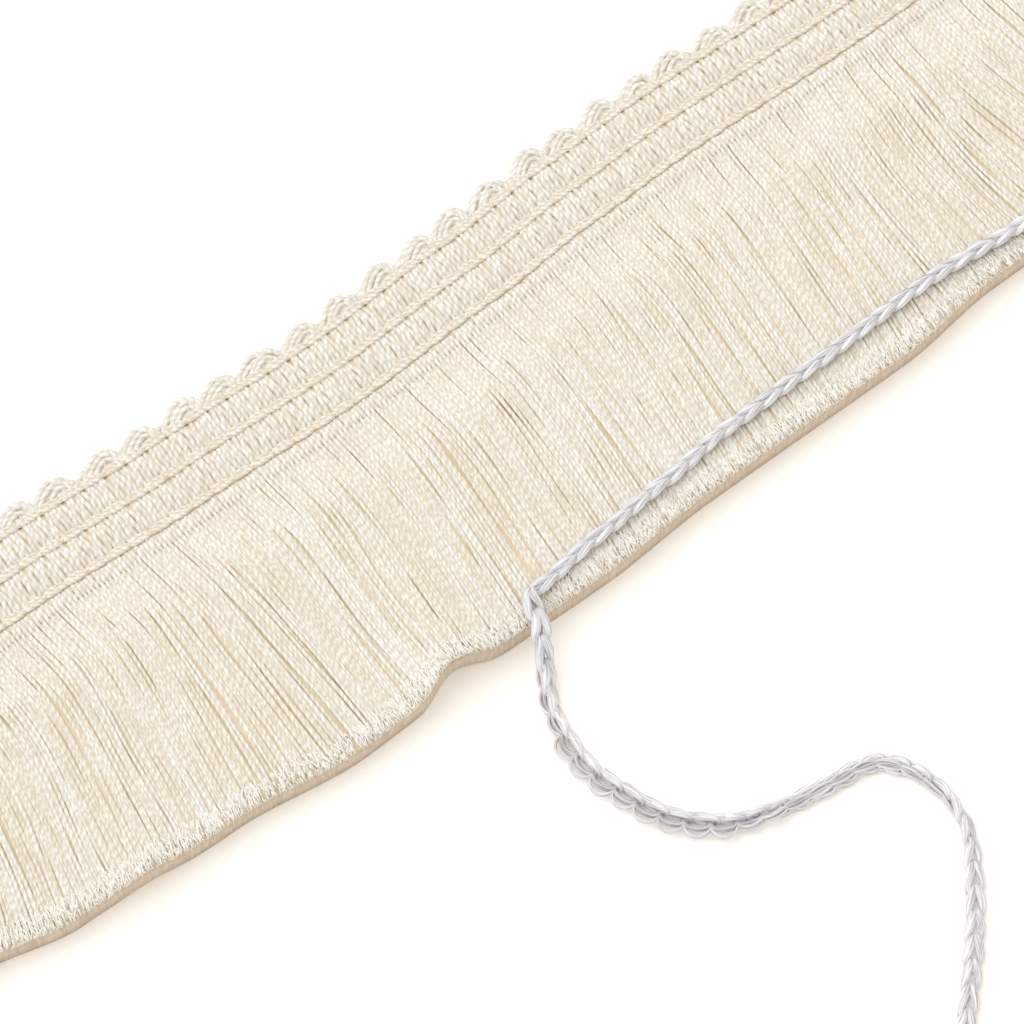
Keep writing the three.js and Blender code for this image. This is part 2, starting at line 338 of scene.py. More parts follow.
def filament_thread(name, shadow, body, lines_round, roughness):
    """Bright continuous-filament thread: smooth, silvery, with fine lines running along it."""
    made, tree = material(name)
    uv = node(tree, "ShaderNodeUVMap", uv_map="yarn")
    parts = node(tree, "ShaderNodeSeparateXYZ", {"Vector": uv.outputs["UV"]})
    across = node(tree, "ShaderNodeMath", {0: parts.outputs["X"], 1: lines_round}, operation="MULTIPLY")
    slow = node(tree, "ShaderNodeMath", {0: parts.outputs["Y"], 1: FILAMENT_STREAKS_TO_MM},
                operation="MULTIPLY")
    tone = node(tree, "ShaderNodeAttribute", attribute_name="tone")
    at = node(tree, "ShaderNodeCombineXYZ",
              {"X": across.outputs[0], "Y": slow.outputs[0], "Z": tone.outputs["Fac"]})
    lines = node(tree, "ShaderNodeTexNoise", {"Vector": at.outputs[0]}, Scale=1.0, Detail=2.0)
    # The darker lines are painted shade between the filaments; the tone attribute, lower at each loop's foot,
    # is painted shade too.
    shade = node(tree, "ShaderNodeValToRGB", {"Fac": lines.outputs["Fac"]})
    shade.color_ramp.elements[0].position = 0.34
    shade.color_ramp.elements[0].color = srgb(shadow)
    shade.color_ramp.elements[1].position = 0.56
    shade.color_ramp.elements[1].color = srgb(body)
    toned = node(tree, "ShaderNodeHueSaturation",
                 {"Color": shade.outputs["Color"], "Value": tone.outputs["Fac"]})
    bump = node(tree, "ShaderNodeBump", {"Height": lines.outputs["Fac"]},
                Strength=1.0, Distance=FILAMENT_RELIEF * MM)
    shader = node(tree, "ShaderNodeBsdfPrincipled",
                  {"Base Color": toned.outputs["Color"], "Normal": bump.outputs["Normal"],
                   "Specular IOR Level": 0.6},
                  Roughness=roughness, IOR=1.5)
    finish_material(tree, shader)
    return made


YARN_RELIEF = 0.03
CHAIN_TURN = 1.7
FRINGE_YARN = twisted_yarn("two_ply_cotton_yarn", "#DDD4C7", "#E5E0D6", "#F4F1EB", YARN_TURN,
                           YARN_RELIEF, 0.5)
CHAIN_THREAD = twisted_yarn("soft_plied_chain_yarn", "#DACBB4", "#E6DBCB", "#F4EFE6", CHAIN_TURN,
                            YARN_RELIEF, 0.55)
PULL_THREAD = filament_thread("bright_filament_thread", "#B8B4B9", "#F5F4F6", FILAMENT_LINES_ROUND, 0.35)


FIBRE_TONE_AND_PAINTED_SHADE_SATURATION = 10.0


def loose_fibre(name):
    """Single cotton fibres, pale and silky, with painted shade, tan and darker, where they lie close to the
    cut.
    """
    made, tree = material(name)
    tone = node(tree, "ShaderNodeAttribute", attribute_name="tone")
    depth = node(tree, "ShaderNodeMath",
                 {0: tone.outputs["Fac"], 1: -FIBRE_TONE_AND_PAINTED_SHADE_SATURATION, 2: 1 + FIBRE_TONE_AND_PAINTED_SHADE_SATURATION},
                 operation="MULTIPLY_ADD")
    toned = node(tree, "ShaderNodeHueSaturation",
                 {"Color": srgb("#FEFAF3"), "Value": tone.outputs["Fac"], "Saturation": depth.outputs[0]})
    shader = node(tree, "ShaderNodeBsdfPrincipled", {"Base Color": toned.outputs["Color"]}, Roughness=0.5)
    finish_material(tree, shader)
    return made


FIBRE = loose_fibre("loose_cotton_fibre")


def streaked_yarns(name, streaks_to_metre, detail, dark, pale, relief, roughness, gloss):
    """Many yarns lying close: matt and dense, in soft streaks, here paler and there browner."""
    made, tree = material(name)
    where = node(tree, "ShaderNodeTexCoord")
    stretch = node(tree, "ShaderNodeMapping", {"Vector": where.outputs["Object"], "Scale": streaks_to_metre})
    streaks = node(tree, "ShaderNodeTexNoise", {"Vector": stretch.outputs[0]}, Scale=1.0, Detail=detail)
    shade = node(tree, "ShaderNodeValToRGB", {"Fac": streaks.outputs["Fac"]})
    shade.color_ramp.elements[0].position = 0.3
    shade.color_ramp.elements[0].color = srgb(dark)
    shade.color_ramp.elements[1].position = 0.7
    shade.color_ramp.elements[1].color = srgb(pale)
    bump = node(tree, "ShaderNodeBump", {"Height": streaks.outputs["Fac"]},
                Strength=1.0, Distance=relief * MM)
    shader = node(tree, "ShaderNodeBsdfPrincipled",
                  {"Base Color": shade.outputs["Color"], "Normal": bump.outputs["Normal"],
                   "Specular IOR Level": gloss}, Roughness=roughness)
    finish_material(tree, shader)
    return made


# Yarn ends cut off together: a face streaked from top to bottom, painted brown-beige, darker than the yarn, as
# painted shade on a face turned from the light.
CUT_ENDS_PAINTED_SHADE = streaked_yarns("cut_yarn_ends_painted_shade", (2600, 900, 350), 3.0, "#C9B5A0", "#DBCCBA", 0.1, 0.9, 0.2)
# Yarns below the top ones: streaked along the fringe, painted deep warm tan, darker than the yarn, as painted
# shade where they show between the top yarns.
PACKED_YARNS_PAINTED_SHADE = streaked_yarns("packed_yarns_painted_shade", (1600, 120, 120), 2.0, "#D6C3A4", "#E4D5BC",
                              0.15, 0.8, 0.5)


# Yarn meshes
UPRIGHT = 0.9


def frames_along(lines):
    """Directions beside and above each point of each line, turning as little as they can."""
    tangent = np.gradient(lines, axis=1)
    tangent /= np.linalg.norm(tangent, axis=2, keepdims=True)
    start = np.zeros((len(lines), 3)) + (0.0, 0.0, 1.0)
    upright = np.abs(tangent[:, 0, 2]) > UPRIGHT
    start[upright] = (0.0, 1.0, 0.0)
    above = np.empty_like(lines)
    above[:, 0] = start
    for i in range(lines.shape[1]):
        last = above[:, max(i - 1, 0)]
        here = last - tangent[:, i] * np.sum(last * tangent[:, i], axis=1, keepdims=True)
        above[:, i] = here / np.linalg.norm(here, axis=1, keepdims=True)
    beside = np.cross(tangent, above)
    return beside, above


YARN_SIDES = 6
STRAND_STEP = 7.3


def yarn_mesh(name, lines, radii, sides, tones, look, shade=0.0, flat=1.0):
    """One mesh of many yarns, each a closed tube along its line, with its own UV map and a tone that falls
    by shade from its upper side to its lower: painted shade on each yarn's sides and underside, where it lies
    among the others."""
    lines = np.asarray(lines, float)
    count, stations, _ = lines.shape
    radii = np.broadcast_to(radii, (count, stations))
    beside, above = frames_along(lines)
    turn = np.arange(sides) / sides * 2 * np.pi
    ring = (np.cos(turn)[None, None, :, None] * beside[:, :, None, :]
            + flat * np.sin(turn)[None, None, :, None] * above[:, :, None, :])
    points = lines[:, :, None, :] + ring * radii[:, :, None, None]
    index = np.arange(count * stations * sides).reshape(count, stations, sides)
    nxt = np.roll(index, -1, axis=2)
    walls = np.stack([index[:, :-1], nxt[:, :-1], nxt[:, 1:], index[:, 1:]], axis=-1)
    run = np.concatenate([np.zeros((count, 1)),
                          np.cumsum(np.linalg.norm(np.diff(lines, axis=1), axis=2), axis=1)], axis=1)
    u0 = np.arange(sides) / sides
    u1 = u0 + 1 / sides
    shape = walls.shape[:-1]
    own = rng.uniform(0, 1, count)[:, None, None]
    u = np.stack([np.broadcast_to(k + own, shape) for k in (u0, u1, u1, u0)], axis=-1)
    low = np.broadcast_to(run[:, :-1, None], shape)
    high = np.broadcast_to(run[:, 1:, None], shape)
    v = np.stack([low, low, high, high], axis=-1)
    caps = []
    for k in range(sides // 2 - 1):
        first = [0, 2 * k + 1, 2 * k + 2, (2 * k + 3) % sides]
        caps.append(index[:, 0][:, first[::-1]])
        caps.append(index[:, -1][:, first])
    caps = np.concatenate(caps)
    faces = np.concatenate([walls.reshape(-1, 4), caps])
    cap_run = np.zeros((len(caps), 4))
    us = np.concatenate([u.reshape(-1, 4), cap_run])
    vs = np.concatenate([v.reshape(-1, 4), cap_run])
    mesh = bpy.data.meshes.new(name)
    mesh.from_pydata((points * MM).reshape(-1, 3).tolist(), [], faces.tolist())
    layer = mesh.uv_layers.new(name="yarn")
    layer.data.foreach_set("uv", np.stack([us, vs], axis=-1).astype(np.float32).ravel())
    strand = mesh.attributes.new("strand", "FLOAT", "POINT")
    numbers = np.repeat(np.arange(count) * STRAND_STEP, stations * sides)
    strand.data.foreach_set("value", numbers.astype(np.float32))
    tone = mesh.attributes.new("tone", "FLOAT", "POINT")
    tones = np.asarray(tones, np.float32)
    tones = np.broadcast_to(tones[:, None] if tones.ndim == 1 else tones, (count, stations))
    # Painted shade: the tone falls from each yarn's upper side to its sides and underside.
    painted_shade_lowness = np.clip(1 - np.sin(turn) / math.sin(math.pi / 3), 0, 1)
    fall = np.broadcast_to(shade, stations)[:, None] * painted_shade_lowness
    tone.data.foreach_set("value", (tones[:, :, None] - fall[None]).astype(np.float32).ravel())
    mesh.polygons.foreach_set("use_smooth", np.ones(len(faces), bool))
    mesh.materials.append(look)
    mesh.update()
    piece = bpy.data.objects.new(name, mesh)
    bpy.context.scene.collection.objects.link(piece)
    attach(piece, "root")
    return piece


# Loops of a chain, each drawn through the one before it. The tone columns are painted shade: lower where a loop
# dips at its foot and its end under its neighbours, highest on its legs.
LOOP = [
    {"along": -0.06, "across": 0.20, "height": -0.55, "thick": 0.75, "tone": 0.78},
    {"along": 0.03, "across": 0.26, "height": 0.45, "thick": 0.98, "tone": 0.82},
    {"along": 0.24, "across": 0.42, "height": 1.00, "thick": 1.14, "tone": 0.92},
    {"along": 0.60, "across": 0.80, "height": 0.80, "thick": 1.08, "tone": 1.02},
    {"along": 0.95, "across": 1.02, "height": 0.15, "thick": 0.80, "tone": 1.02},
    {"along": 1.16, "across": 0.75, "height": -0.40, "thick": 0.62, "tone": 0.90},
    {"along": 1.24, "across": 0.00, "height": -0.60, "thick": 0.62, "tone": 0.84},
]
HEADING_LOOP = [
    {"along": -0.05, "across": 0.30, "height": -0.60, "thick": 0.75, "tone": 0.92},
    {"along": 0.07, "across": 0.52, "height": 0.35, "thick": 0.92, "tone": 0.95},
    {"along": 0.30, "across": 0.92, "height": 1.00, "thick": 1.05, "tone": 1.00},
    {"along": 0.56, "across": 1.05, "height": 1.05, "thick": 1.05, "tone": 1.00},
    {"along": 0.82, "across": 0.85, "height": 0.65, "thick": 1.00, "tone": 0.98},
    {"along": 1.00, "across": 0.46, "height": -0.10, "thick": 0.80, "tone": 0.94},
    {"along": 1.08, "across": 0.00, "height": -0.50, "thick": 0.70, "tone": 0.92},
]
LOOP_STEPS = 23
LEVEL = 0.6

# Sizes of the loops of each chain in millimetres. Slope 1 sinks a loop's head under the next and 0 keeps it
# level; one leg is painted paler than the other by a share, as painted light, and skew is how far that leg
# lags.
LOOSE_LOOPS = {"pitch": PULL_STITCH, "half_width": 0.84, "half_height": 0.5, "radius": 0.52, "slope": 0.55,
               "painted_leg_light": 0.0, "skew": 0.45}
PULL_LOOPS = {"pitch": PULL_STITCH, "half_width": 0.56, "half_height": 0.42, "radius": 0.44, "slope": 1.0,
              "painted_leg_light": 0.04, "skew": 0.35}
HEADING_LOOPS = {"pitch": STITCH, "half_width": 0.31, "half_height": 0.22, "radius": 0.29, "slope": 1.0,
                 "painted_leg_light": 0.0, "skew": 0.0}
BAR_HALF = 0.54
CHAIN_UNEVEN = 0.02


def loop_form(table, slope):
    """Loop from its foot round to its foot."""
    leg = [(row["along"], row["across"], LEVEL + (row["height"] - LEVEL) * slope, row["thick"], row["tone"])
           for row in table]
    back = [(a, -b, c, d, e) for a, b, c, d, e in reversed(leg[:-1])]
    return catmull(leg + back, LOOP_STEPS)


def chain_mesh(name, place, count, look, table, size, bars):
    """Chain of loops, and of bars behind them: place(run, across, up) gives the points for run in millimetres
    along the chain."""
    form = loop_form(table, size["slope"])
    starts = np.arange(count) * size["pitch"]
    side = form[None, :, 1]
    half_width = size["half_width"]
    run = starts[:, None] + form[None, :, 0] * size["pitch"] + side * half_width * size["skew"]
    across = np.broadcast_to(side * half_width, run.shape)
    up = np.broadcast_to(form[None, :, 2] * size["half_height"], run.shape)
    lines = place(run, across, up)
    thick = np.broadcast_to(form[None, :, 3] * size["radius"], run.shape)
    # Painted light and shade: one leg paler, the other darker, on top of the painted shade of the tone column.
    tones = np.broadcast_to(form[None, :, 4] - size["painted_leg_light"] * np.clip(side, -1, 1), run.shape)
    turn = np.linspace(0, np.pi, LOOP_STEPS)
    for thread in bars:
        begins = starts[(starts >= thread["first"]) & (starts < thread["last"])]
        bow = np.sin(turn) if thread["bowed"] else np.ones(LOOP_STEPS)
        bar_run = begins[:, None] + (0.5 - BAR_HALF * np.cos(turn))[None, :] * size["pitch"]
        bar_across = np.broadcast_to(thread["apart"] * bow, bar_run.shape)
        bar_up = np.broadcast_to(-thread["depth"] * bow, bar_run.shape)
        lines = np.concatenate([lines, place(bar_run, bar_across, bar_up)])
        thick = np.concatenate([thick, np.full(bar_run.shape, thread["radius"])])
        tones = np.concatenate([tones, np.full(bar_run.shape, thread["tone"])])
    tones = tones + rng.uniform(-CHAIN_UNEVEN, CHAIN_UNEVEN, (len(lines), 1))
    return yarn_mesh(name, lines, thick, YARN_SIDES, tones, look)


# Loose end of the pull chain: it rolls over as it lies, so it shows its face, its edge and its back.
ROLL = [
    {"x": 0, "turn": 0},
    {"x": 6, "turn": 12},
    {"x": 14, "turn": 68},
    {"x": 22, "turn": 90},
    {"x": 41, "turn": 95},
    {"x": 49, "turn": 150},
    {"x": 55, "turn": 172},
    {"x": 62, "turn": 150},
    {"x": 68, "turn": 105},
    {"x": 74, "turn": 50},
    {"x": 81, "turn": 0},
]


def bar(first, last, apart, depth, radius, tone, bowed=True):
    """Thread behind each loop from first to last along a chain: how far from its middle, and how deep."""
    return {"first": first, "last": last, "apart": apart, "depth": depth, "radius": radius, "tone": tone,
            "bowed": bowed}


# Bars behind the loops get a lower tone: painted shade.
PULL_BARS = [bar(0, LENGTH, apart=0.0, depth=0.05, radius=0.36, tone=0.84)]
HEADING_BARS = [bar(0, LENGTH, apart=0.0, depth=-0.24, radius=0.24, tone=1.0)]
BACK_RINGS = [
    {"first": 0, "last": 8, "apart": 0.15, "depth": 0.5},
    {"first": 8, "last": 17, "apart": 0.15, "depth": 1.2},
    {"first": 17, "last": 41, "apart": 0.15, "depth": 2.0},
    {"first": 41, "last": 47, "apart": 0.3, "depth": 1.2},
    {"first": 47, "last": 70, "apart": 0.45, "depth": 0.45},
]
RING_RADIUS = 0.2
BAND_STRETCH = (8, 70)
BAND_APART = 0.72
BAND_HEIGHT = 0.35
BAND_RADIUS = 0.4
FILLER_RADIUS = 0.34
# The filler thread inside the rings gets a low tone: painted shade in the rings' holes.
FILLER_PAINTED_SHADE_TONE = 0.74
BACK_BARS = [bar(*BAND_STRETCH, side * BAND_APART, -BAND_HEIGHT, BAND_RADIUS, 1.0, bowed=False)
             for side in (-1, 1)]
for ring in BACK_RINGS:
    stretch = (ring["first"], ring["last"])
    BACK_BARS += [bar(*stretch, side * ring["apart"], ring["depth"], RING_RADIUS, 1.0) for side in (-1, 1)]
    BACK_BARS.append(bar(*stretch, 0.0, ring["depth"] * 0.5, FILLER_RADIUS, FILLER_PAINTED_SHADE_TONE))
ROUTE_STEPS = 400
SETTLES = (70, 80)
SETTLE_DROP = 0.45
LOWEST_THREAD = 0.6


def make_loose_end():
    route = catmull(FREE_ROUTE, ROUTE_STEPS)
    length = np.linalg.norm(np.diff(route, axis=0), axis=1).sum()
    at = np.linspace(0, length, ROUTE_STEPS)
    tangent = np.gradient(route, axis=0)
    tangent /= np.linalg.norm(tangent, axis=1, keepdims=True)
    left = np.cross((0.0, 0.0, 1.0), tangent)
    left /= np.linalg.norm(left, axis=1, keepdims=True)
    above = np.cross(tangent, left)
    roll = np.radians(along(ROLL, "turn", at))[:, None]
    face = above * np.cos(roll) + left * np.sin(roll)
    side = np.cross(tangent, face)

    def place(run, across, up):
        run = np.clip(run, 0, length)
        spot = [np.stack([np.interp(run, at, part[:, k]) for k in range(3)], axis=-1)
                for part in (route, side, face)]
        point = spot[0] + spot[1] * across[..., None] + spot[2] * up[..., None]
        point[..., 2] -= SETTLE_DROP * smoothstep(*SETTLES, run)
        point[..., 2] = np.maximum(point[..., 2], LOWEST_THREAD)
        return point

    count = int(length / PULL_STITCH)
    piece = chain_mesh("pull_chain_loose_loops", place, count, PULL_THREAD, LOOP, LOOSE_LOOPS, BACK_BARS)
    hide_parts("pull_chain_loose_end")


make_loose_end()


def make_pull_chain():
    def place(run, across, up):
        x = START_X + LENGTH - run
        return np.stack([x, along(PULL_LINE, "y", x) + across, PULL_HEIGHT + up], axis=-1)

    piece = chain_mesh("pull_chain_loops", place, PULL_STITCHES, PULL_THREAD, LOOP, PULL_LOOPS, PULL_BARS)
    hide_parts("pull_chain")


make_pull_chain()


HEADING_HEIGHT = 1.72


def make_heading_chain(name, row):
    def place(run, across, up):
        x = START_X + LENGTH - run
        return np.stack([x, row + shift_at(x) + across, HEADING_HEIGHT + up], axis=-1)

    piece = chain_mesh(f"heading_loops_{name}", place, STITCHES, CHAIN_THREAD, HEADING_LOOP, HEADING_LOOPS,
                       HEADING_BARS)
    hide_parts(f"heading_chain_{name}")


for row_name, row_y in (("top", ROW_TOP), ("middle", ROW_MIDDLE), ("lower", ROW_LOWER)):
    make_heading_chain(row_name, row_y)


# Fringe: layers of yarn, the top one running on from the heading's wefts.
LAYERS = [
    {"name": "top", "height": 3.72, "root": 1.95, "steps": 28, "yarns": YARNS_TO_STITCH,
     "tone": 1.0, "shade": 0.9, "sway": 1.0, "deep": 0.34},
    # The second layer's low tone is painted shade: these yarns show only in gaps between the top yarns.
    {"name": "second", "height": 3.63, "root": 1.86, "steps": 24, "yarns": 8,
     "tone": 0.77, "shade": 0.2, "sway": 0.35, "deep": 0.0},
    {"name": "lowest", "height": 0.42, "root": 0.42, "steps": 16, "yarns": YARNS_TO_STITCH,
     "tone": 0.97, "shade": 0.2, "sway": 1.0, "deep": 0.0},
]
# Yarns fall in small locks, and those in large ones.
LOCKS = [
    {"fewest": 3, "most": 7, "sway": 0.38, "heave": 0.08, "gather": 0.14},
    {"fewest": 12, "most": 26, "sway": 0.8, "heave": 0.06, "gather": 0.02},
]
LOCK_TURNS = 0.8
LOCK_GATHERS = (0.05, 0.45)
YARN_SWAY = 0.18
YARN_SWAY_TURNS = 1.7
YARN_HEAVE = 0.11
YARN_HEAVE_TURNS = 1.6
DEEP_DROP = 0.12
DEEP_PAINTED_SHADE = 0.11
DEEP_BEGINS = (0.1, 0.4)
TIP_SHORT = 0.12
TIP_UNEVEN = 0.22
TIP_PALER = 0.05
TIP_PALE_FROM = 0.75
TIP_THINS_FROM = 0.9
TIP_THINNER = 0.3
YARN_TONE_UNEVEN = 0.03
YARN_THICKNESS = (0.88, 1.1)
YARN_FLATNESS = 0.95
BODY_BEGINS = 0.28


def locks(count, fewest, most):
    """For each yarn, the middle of the lock that it falls into and the number of its lock."""
    middle = np.zeros(count)
    number = np.zeros(count, int)
    i = 0
    k = 0
    while i < count:
        size = int(rng.integers(fewest, most + 1))
        part = np.arange(i, min(i + size, count))
        middle[part] = part.mean()
        number[part] = k
        i += size
        k += 1
    return middle, number


WAVES = 3
ROOT_HELD = 0.3


def waver(count, v, size, turns):
    """Slow waver of each yarn or lock, sideways or up and down, nought at its root."""
    total = np.zeros((count, len(v)))
    for _ in range(WAVES):
        phase = rng.uniform(0, 2 * np.pi, (count, 1))
        pace = rng.uniform(0.5, 1.5, (count, 1)) * turns
        part = rng.uniform(0.3, 1.0, (count, 1)) * size
        total += part * (np.sin(2 * np.pi * pace * v[None, :] + phase) - np.sin(phase))
    return total * smoothstep(0, ROOT_HELD, v)[None, :] / WAVES


def fringe_place(root_x, v):
    """Where a yarn without any waver is at share v of its length: x, y and the x of its tip."""
    lean = [along(LEAN, part, root_x) for part in ("root", "middle", "tip")]

    def bent(share):
        first = np.minimum(share, 0.5)
        second = np.maximum(share - 0.5, 0)
        return np.radians(lean[0] * first + (lean[1] - lean[0]) * first ** 2
                          + lean[1] * second + (lean[2] - lean[1]) * second ** 2)

    root_y = ROOT_Y + shift_at(root_x)
    length = root_y - along(CUT, "y", root_x)
    tip_x = root_x + bent(1.0) * length
    y = root_y + (along(CUT, "y", tip_x) - root_y) * v
    return root_x + bent(v) * length, y, tip_x


def fringe_lines(layer, count):
    """Lines of one layer's yarns: they fall in locks, small and large, and some lie deeper than the rest."""
    pitch = LENGTH / count
    i = np.arange(count)
    v = np.linspace(0, 1, layer["steps"])
    root_x = START_X + (i + 0.5) * pitch
    if layer["name"] != "top":
        root_x = root_x + rng.uniform(-0.5, 0.5, count) * pitch
    x, y, _ = fringe_place(root_x[:, None], v[None, :])
    rise = np.zeros_like(x)
    for lock in LOCKS:
        middle, number = locks(count, lock["fewest"], lock["most"])
        groups = number.max() + 1
        x += waver(groups, v, lock["sway"] * layer["sway"], LOCK_TURNS)[number]
        rise += waver(groups, v, lock["heave"], LOCK_TURNS)[number]
        pull = rng.uniform(0.4, 1.0, groups)[number][:, None] * lock["gather"] * layer["sway"]
        x += (middle - i)[:, None] * pitch * pull * smoothstep(*LOCK_GATHERS, v)[None, :]
    x += waver(count, v, YARN_SWAY, YARN_SWAY_TURNS)
    rise += waver(count, v, YARN_HEAVE, YARN_HEAVE_TURNS)
    deep = rng.random(count) < layer["deep"]
    rise -= DEEP_DROP * deep[:, None] * smoothstep(*DEEP_BEGINS, v)[None, :]
    tip_x = x[:, -1]
    tip_y = along(CUT, "y", tip_x) + TIP_SHORT + np.abs(rng.normal(0, TIP_UNEVEN, count))
    y += (tip_y - y[:, -1])[:, None] * v[None, :]
    swell = smoothstep(0, BODY_BEGINS, v)[None, :]
    z = layer["root"] + (layer["height"] - layer["root"]) * swell + rise * swell
    z = z + rise_at(tip_x)[:, None] * v[None, :] ** RISE_SHARPNESS
    return np.stack([x, y, np.maximum(z, YARN_RADIUS)], axis=-1), v, deep


WEFT_STEPS = 18
WEFT_SHADE = 0.45
WEFT_DULLER = 0.04
WEFT_TOP = ROW_TOP + 0.9
WEFT_UNEVEN = 0.05
PINCH_Z = 1.15
PUFF_Z = 1.95
PUFF_ROUNDNESS = 0.6
RISE_TO_FRINGE = 1.6
# Wefts of one stitch are drawn together below each chain row, and their bundle is rounded between the rows.
PINCH_BELOW_ROW = 0.7
PINCH_REACH = 0.75
PINCH_SHARE = 0.25
BUNDLE_ROUND = 0.16
WAVER_ASIDE = {"size": 0.13, "pace": 1.5}
WAVER_UP = {"size": 0.1, "pace": 1.9}


def puff_at(y):
    """Swelling of the wefts between the chain rows, from 0 at a row to 1 half way."""
    puff = np.zeros_like(y)
    for upper, lower in ((ROW_TOP, ROW_MIDDLE), (ROW_MIDDLE, ROW_LOWER)):
        inside = (y < upper) & (y > lower)
        puff[inside] = np.sin(np.pi * (upper - y[inside]) / (upper - lower)) ** PUFF_ROUNDNESS
    return puff


def weft_lines(root_x, root_z):
    """The same yarns across the heading, from under the picots to the root of the fringe."""
    count = len(root_x)
    y = np.linspace(WEFT_TOP, ROOT_Y, WEFT_STEPS, endpoint=False)
    puff = puff_at(y)
    z = PINCH_Z + (PUFF_Z - PINCH_Z) * puff[None, :]
    z = z + (root_z - PINCH_Z)[:, None] * smoothstep(ROW_LOWER, ROW_LOWER - RISE_TO_FRINGE, y)[None, :]
    stitch = START_X + (np.floor((root_x - START_X) / STITCH) + 0.5) * STITCH
    off = (root_x - stitch) / (STITCH / 2)
    rows = (ROW_TOP, ROW_MIDDLE, ROW_LOWER)
    pinch = sum(np.exp(-((y - row + PINCH_BELOW_ROW) / PINCH_REACH) ** 2) for row in rows)
    x = root_x[:, None] - (off * PINCH_SHARE)[:, None] * pinch[None, :]
    z = z - BUNDLE_ROUND * (off ** 2)[:, None] * puff[None, :]
    z = z + rng.normal(0, WEFT_UNEVEN, (count, 1))
    swing = rng.uniform(0, 2 * np.pi, (count, 2))
    aside = np.sin(y[None, :] * WAVER_ASIDE["pace"] + swing[:, :1])
    up = np.sin(y[None, :] * WAVER_UP["pace"] + swing[:, 1:])
    x = x + WAVER_ASIDE["size"] * aside * puff[None, :]
    z = z + WAVER_UP["size"] * up * puff[None, :]
    return np.stack([x, y[None, :] + shift_at(x), z], axis=-1)


END_STATIONS = 4


def make_fringe():
    """Makes the layers of yarn, and returns the cut ends of the upper two layers' lines."""
    ends = []
    for layer in LAYERS:
        on_top = layer["name"] == "top"
        count = STITCHES * layer["yarns"]
        lines, v, deep = fringe_lines(layer, count)
        # Yarns that lie deeper get painted shade: a lower tone, warm tan and darker; tips are paler.
        painted_deep_shade = DEEP_PAINTED_SHADE * deep[:, None] * smoothstep(*DEEP_BEGINS, v)
        paler = TIP_PALER * smoothstep(TIP_PALE_FROM, 1.0, v) - painted_deep_shade
        tones = layer["tone"] + rng.normal(0, YARN_TONE_UNEVEN, (count, 1)) + paler
        if layer["name"] in ("top", "second"):
            ends.append(lines[:, -END_STATIONS:])
        if on_top:
            wefts = weft_lines(lines[:, 0, 0], lines[:, 0, 2])
            lines = np.concatenate([wefts, lines], axis=1)
            weft_tones = np.repeat(tones[:, :1] - WEFT_DULLER, WEFT_STEPS, axis=1)
            tones = np.concatenate([weft_tones, tones], axis=1)
        shade = np.full(len(v), layer["shade"])
        taper = 1 - TIP_THINNER * smoothstep(TIP_THINS_FROM, 1.0, v)
        radii = YARN_RADIUS * taper[None, :] * rng.uniform(*YARN_THICKNESS, (count, 1))
        if on_top:
            radii = np.concatenate([np.full((count, WEFT_STEPS), WEFT_RADIUS), radii], axis=1)
            shade = np.concatenate([np.full(WEFT_STEPS, WEFT_SHADE), shade])
        piece = yarn_mesh(f"fringe_yarns_{layer['name']}", lines, radii, YARN_SIDES, tones, FRINGE_YARN,
                          shade, YARN_FLATNESS)
        if on_top:
            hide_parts("fringe_upper", "heading_band")
        if layer["name"] == "lowest":
            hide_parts("fringe_lower")
    return ends


fringe_ends = make_fringe()

UNDER_STEPS = 10
UNDER_CLEARANCE = 0.02
UNDER_TONE = 0.97
UNDER_UNEVEN = 0.015


def make_heading_back():
    """Wefts along the underside of the heading, flat on the table."""
    count = STITCHES * YARNS_TO_STITCH
    x = START_X + (np.arange(count) + 0.5) * LENGTH / count
    y = np.linspace(WEFT_TOP, ROOT_Y, UNDER_STEPS)
    across = np.broadcast_to(x[:, None], (count, len(y)))
    z = np.full(across.shape, WEFT_RADIUS + UNDER_CLEARANCE)
    lines = np.stack([across, y[None, :] + shift_at(across), z], axis=-1)
    tones = UNDER_TONE + rng.normal(0, UNDER_UNEVEN, count)
    piece = yarn_mesh("heading_yarns_under", lines, WEFT_RADIUS, YARN_SIDES, tones, FRINGE_YARN)


make_heading_back()

# Picots: loops of yarn that turn outside the top chain.
PICOT_LOOPS = [
    {"left": -0.35, "right": 1.35, "height": 1.70, "z": 0.75},
    {"left": -0.02, "right": 1.00, "height": 3.25, "z": 0.60},
    {"left": 0.08, "right": 0.94, "height": 2.75, "z": 0.72},
    {"left": 0.20, "right": 0.88, "height": 2.20, "z": 0.85},
    {"left": 0.33, "right": 0.82, "height": 1.60, "z": 0.95},
    {"left": 0.46, "right": 0.76, "height": 1.00, "z": 1.00},
    {"left": -0.08, "right": 0.72, "height": 2.35, "z": 1.02},
    {"left": 0.04, "right": 0.90, "height": 3.05, "z": 1.14},
    {"left": 0.16, "right": 0.97, "height": 2.50, "z": 1.22},
    {"left": 0.30, "right": 0.86, "height": 1.75, "z": 1.26},
]
PICOT_CURVE = [(0.0, 0.0), (0.09, 0.36), (0.36, 0.74), (0.66, 0.98), (0.86, 0.88), (0.98, 0.45), (1.0, 0.0)]
PICOT_RADIUS = 0.41
PICOT_STEPS = 15
PICOT_ROOT = ROW_TOP - 0.1
PICOT_SLIP = 0.055
PICOT_UNEVEN = 0.06
PICOT_LOOP_UNEVEN = 0.032
PICOT_FOOT = 0.1
PICOT_FOOT_DROP = 0.1
PICOT_TONE = 0.98
PICOT_TONE_UNEVEN = 0.02
PICOT_SHADE = 0.15
END_INSET = 0.1


